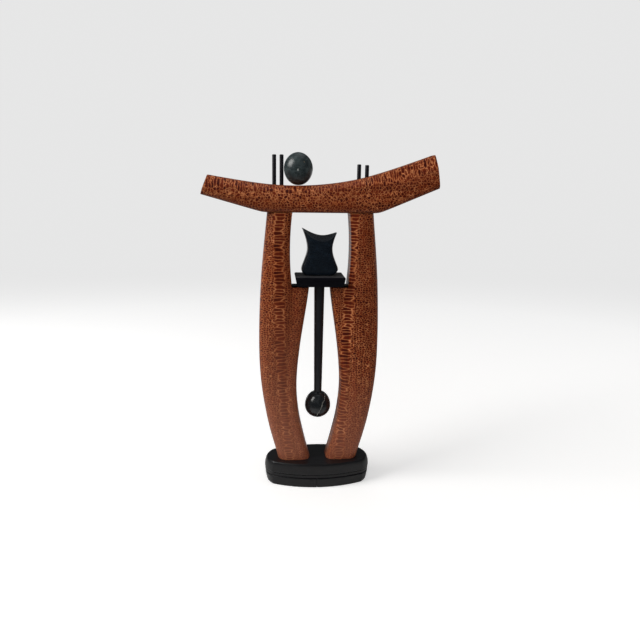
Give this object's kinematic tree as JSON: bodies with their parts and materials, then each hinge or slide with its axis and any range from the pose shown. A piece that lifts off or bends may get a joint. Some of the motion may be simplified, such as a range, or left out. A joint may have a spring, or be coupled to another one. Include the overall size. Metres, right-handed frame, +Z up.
{
  "type": "tabletop pendulum sculpture",
  "caption": "Gate-shaped hardwood sculpture: bowed legs on a black base carry a hollowed crossbeam with a rolling stone, and a shelf holds a saddle stone and a pendulum.",
  "frame": {"origin": "middle of the object's box, on the surface that the felt pads stand on", "axes": "+X along the crossbeam towards its higher tip, +Y from the front to the back, +Z up"},
  "size_m": [0.3773, 0.0868, 0.5585],
  "materials": {
    "leopardwood": "satin varnish with large ray flecks",
    "black_wood": "black satin lacquer",
    "dark_stone": "polished green-black stone",
    "blue_stone": "polished blue-black stone",
    "veined_stone": "polished black stone with a pale vein",
    "felt": "felt",
    "steel": "bright",
    "brass": "plain",
    "birch": "unfinished"
  },
  "bodies": {
    "frame": {"base_board": "black_wood", "base_plate": "black_wood", "beam_dowel_left": "birch", "beam_dowel_right": "birch", "crossbeam": "leopardwood", "felt_pad_back_left": "felt", "felt_pad_back_right": "felt", "felt_pad_front_left": "felt", "felt_pad_front_right": "felt", "ledge_pad_left": "black_wood", "ledge_pad_right": "black_wood", "leg_left": "leopardwood", "leg_right": "leopardwood", "pivot_pin": "steel", "pivot_plug": "black_wood", "plinth_left": "black_wood", "plinth_right": "black_wood", "post_left_inner": "black_wood", "post_left_outer": "black_wood", "post_right_inner": "black_wood", "post_right_outer": "black_wood", "saddle_pin_left": "steel", "saddle_pin_right": "steel", "saddle_stone": "blue_stone", "screw_left_inner": "steel", "screw_left_outer": "steel", "screw_right_inner": "steel", "screw_right_outer": "steel", "shelf": "black_wood", "shelf_dowel_left": "birch", "shelf_dowel_right": "birch"},
    "pendulum": {"pendulum_rod": "black_wood", "pendulum_bob": "veined_stone", "bob_stud": "brass"},
    "stone": {"rolling_stone": "dark_stone"}
  },
  "joints": [
    {"name": "pendulum_swing", "type": "hinge", "parent": "frame", "child": "pendulum", "pos_m": [0, 0, 0.3548], "axis": [0, -1, 0], "range_deg": [-2.8, 2.8]},
    {"name": "stone_roll", "type": "hinge", "parent": "frame", "child": "stone", "pos_m": [-0.0433, 0, 0.9849], "axis": [0, -1, 0], "range_deg": [0, 8.7]}
  ]
}
